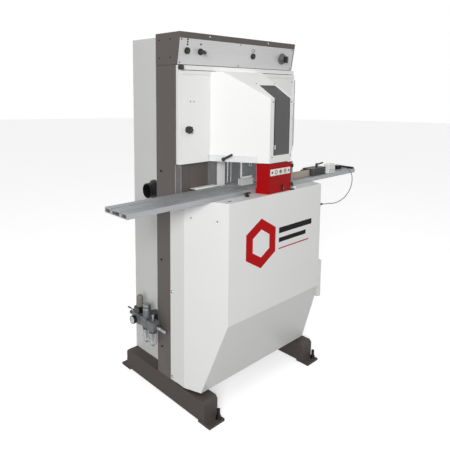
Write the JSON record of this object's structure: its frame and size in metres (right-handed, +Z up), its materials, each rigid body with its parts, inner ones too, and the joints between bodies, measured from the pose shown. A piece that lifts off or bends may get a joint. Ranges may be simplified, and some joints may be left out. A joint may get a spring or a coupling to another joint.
{
  "type": "vertical band saw",
  "caption": "Free-standing vertical band saw: portal frame, faceted white covers, hinged wheel housing, long feed tables, red blade guard and length stop.",
  "frame": {"origin": "middle of the machine's outline, on the floor", "axes": "+Z up, operator at -Y, work is fed along X"},
  "size_m": [1.596, 0.741, 1.75],
  "materials": {
    "frame_paint": "fine-textured dark taupe powder coat",
    "white_paint": "smooth white powder coat",
    "top_paint": "light grey coated sheet",
    "panel_metal": "satin control panel",
    "extrusion": "brushed extrusion",
    "steel": "machined steel",
    "blade_steel": "ground saw band",
    "dark_metal": "dark grey painted metal",
    "motor_paint": "motor enamel",
    "black_plastic": "moulded black",
    "red_guard": "red guard sheet",
    "red_plastic": "red grip",
    "smoked": "smoked clear sheet",
    "clear": "clear sheet",
    "bowl_clear": "clear bowl",
    "fence_beige": "beige fence facing",
    "light_plastic": "light housing",
    "comb_grey": "grey comb",
    "belt_rubber": "ribbed belt",
    "cable_grey": "grey sheath"
  },
  "bodies": {
    "frame": {"left_foot": "frame_paint", "right_foot": "frame_paint", "left_column": "frame_paint", "right_column": "frame_paint", "cross_beam": "frame_paint", "spine_column": "frame_paint", "blade": "blade_steel", "belt": "belt_rubber", "motor": "motor_paint", "rear_cabinet": "white_paint", "rear_panel": "white_paint", "dust_port": "black_plastic", "control_hood": "frame_paint", "control_panel": "panel_metal", "door_frame": "white_paint", "door_hinge": "steel", "interlock_switch": "black_plastic", "side_guard": "clear", "lower_cover": "white_paint", "cabinet_top": "top_paint", "left_table": "extrusion", "right_table": "extrusion", "table_insert": "steel", "upper_blade_guide": "dark_metal", "throat_panel": "dark_metal", "table_post": "white_paint", "fence_plate": "fence_beige", "sensor_block": "dark_metal", "holddown_cylinder": "extrusion", "frl_body": "dark_metal", "filter_bowl": "bowl_clear", "lubricator_bowl": "bowl_clear", "cable_duct": "light_plastic", "cable_gland": "black_plastic", "cable": "cable_grey"},
    "door": {"head_door": "white_paint", "window": "smoked"},
    "door_knob": {"door_knob": "black_plastic"},
    "clear_guard": {"clear_guard": "clear"},
    "guard_lever": {"guard_lever": "black_plastic"},
    "red_guard": {"red_guard": "red_guard"},
    "guard_latch": {"guard_latch": "black_plastic"},
    "lower_wheel": {"lower_wheel": "steel", "drive_shaft": "steel"},
    "motor_rotor": {"motor_pulley": "steel"},
    "tension_slide": {"tension_slide": "dark_metal"},
    "upper_wheel": {"upper_wheel": "steel"},
    "tension_screw": {"tension_screw": "black_plastic"},
    "holddown": {"holddown_plate": "dark_metal", "holddown_shoe": "comb_grey"},
    "stop_carriage": {"stop_carriage": "dark_metal", "readout": "light_plastic"},
    "stop_lever": {"stop_lever": "black_plastic"},
    "start_button": {"start_button": "black_plastic"},
    "stop_button": {"stop_button": "black_plastic"},
    "selector_knob": {"selector_knob": "black_plastic"},
    "main_switch": {"main_switch": "dark_metal"},
    "regulator_knob": {"regulator_knob": "black_plastic"},
    "valve_lever": {"valve_lever": "red_plastic"},
    "table_lock": {"table_lock": "black_plastic"}
  },
  "joints": [
    {"name": "door_hinge", "type": "hinge", "parent": "frame", "child": "door", "pos_m": [0.4195, -0.119, 1.373], "axis": [0, 0, 1], "range_deg": [0, 105]},
    {"name": "door_knob_turn", "type": "hinge", "parent": "door", "child": "door_knob", "pos_m": [-0.357, -0.1205, 1.319], "axis": [0, -1, 0], "range_deg": [0, 90]},
    {"name": "clear_guard_slide", "type": "slide", "parent": "door", "child": "clear_guard", "axis": [0, 0, 1], "range_m": [0, 0.09]},
    {"name": "guard_lever_turn", "type": "hinge", "parent": "clear_guard", "child": "guard_lever", "pos_m": [-0.19343, -0.18759, 1.178], "axis": [-0.8512, -0.5249, 0], "range_deg": [0, 90]},
    {"name": "red_guard_hinge", "type": "hinge", "parent": "frame", "child": "red_guard", "pos_m": [0.102, -0.3565, 1.089], "axis": [0, 0, 1], "range_deg": [0, 100]},
    {"name": "guard_latch_turn", "type": "hinge", "parent": "red_guard", "child": "guard_latch", "pos_m": [0.031, -0.3608, 1.046], "axis": [0, -1, 0], "range_deg": [0, 90]},
    {"name": "lower_wheel_spin", "type": "hinge", "parent": "frame", "child": "lower_wheel", "pos_m": [0.009, -0.055, 0.77], "axis": [1, 0, 0], "continuous": true},
    {"name": "motor_spin", "type": "hinge", "parent": "frame", "child": "motor_rotor", "pos_m": [0.062, 0.185, 0.33], "axis": [1, 0, 0], "continuous": true},
    {"name": "tension_screw_turn", "type": "hinge", "parent": "frame", "child": "tension_screw", "pos_m": [-0.133, -0.055, 1.2], "axis": [0, 0, 1], "range_deg": [-901, 0]},
    {"name": "tension_slide_travel", "type": "slide", "parent": "frame", "child": "tension_slide", "axis": [0, 0, 1], "range_m": [-0.01, 0]},
    {"name": "upper_wheel_spin", "type": "hinge", "parent": "tension_slide", "child": "upper_wheel", "pos_m": [0.009, -0.055, 1.391], "axis": [1, 0, 0], "continuous": true},
    {"name": "holddown_travel", "type": "slide", "parent": "frame", "child": "holddown", "axis": [0, 0, 1], "range_m": [0, 0.045]},
    {"name": "stop_travel", "type": "slide", "parent": "frame", "child": "stop_carriage", "axis": [1, 0, 0], "range_m": [0, 0.095]},
    {"name": "stop_lever_turn", "type": "hinge", "parent": "stop_carriage", "child": "stop_lever", "pos_m": [0.476, -0.245, 1.088], "axis": [0, 0, 1], "range_deg": [0, 90]},
    {"name": "start_button_press", "type": "slide", "parent": "frame", "child": "start_button", "axis": [0, 0.9866, 0.1633], "range_m": [0, 0.003], "stiffness_N_per_m": 300},
    {"name": "stop_button_press", "type": "slide", "parent": "frame", "child": "stop_button", "axis": [0, 0.9866, 0.1633], "range_m": [0, 0.003], "stiffness_N_per_m": 300},
    {"name": "selector_turn", "type": "hinge", "parent": "frame", "child": "selector_knob", "pos_m": [-0.277, -0.11276, 1.67], "axis": [0, -0.9866, -0.1633], "range_deg": [0, 90]},
    {"name": "main_switch_turn", "type": "hinge", "parent": "frame", "child": "main_switch", "pos_m": [0.312, -0.11226, 1.667], "axis": [0, -0.9866, -0.1633], "range_deg": [0, 90]},
    {"name": "regulator_turn", "type": "hinge", "parent": "frame", "child": "regulator_knob", "pos_m": [-0.432, 0.165, 0.43], "axis": [0, 0, 1], "range_deg": [-720, 720]},
    {"name": "air_valve_turn", "type": "hinge", "parent": "frame", "child": "valve_lever", "pos_m": [-0.432, 0.228, 0.366], "axis": [0, 0, 1], "range_deg": [0, 90]},
    {"name": "table_lock_turn", "type": "hinge", "parent": "frame", "child": "table_lock", "pos_m": [-0.175, -0.322, 1.03], "axis": [0, 0, 1], "range_deg": [0, 90]}
  ],
  "couplings": [
    {"joint": "upper_wheel_spin", "follows": "lower_wheel_spin", "ratio": 1},
    {"joint": "motor_spin", "follows": "lower_wheel_spin", "ratio": 1.5},
    {"joint": "tension_screw_turn", "follows": "tension_slide_travel", "rad_per_m": 1570.8}
  ]
}
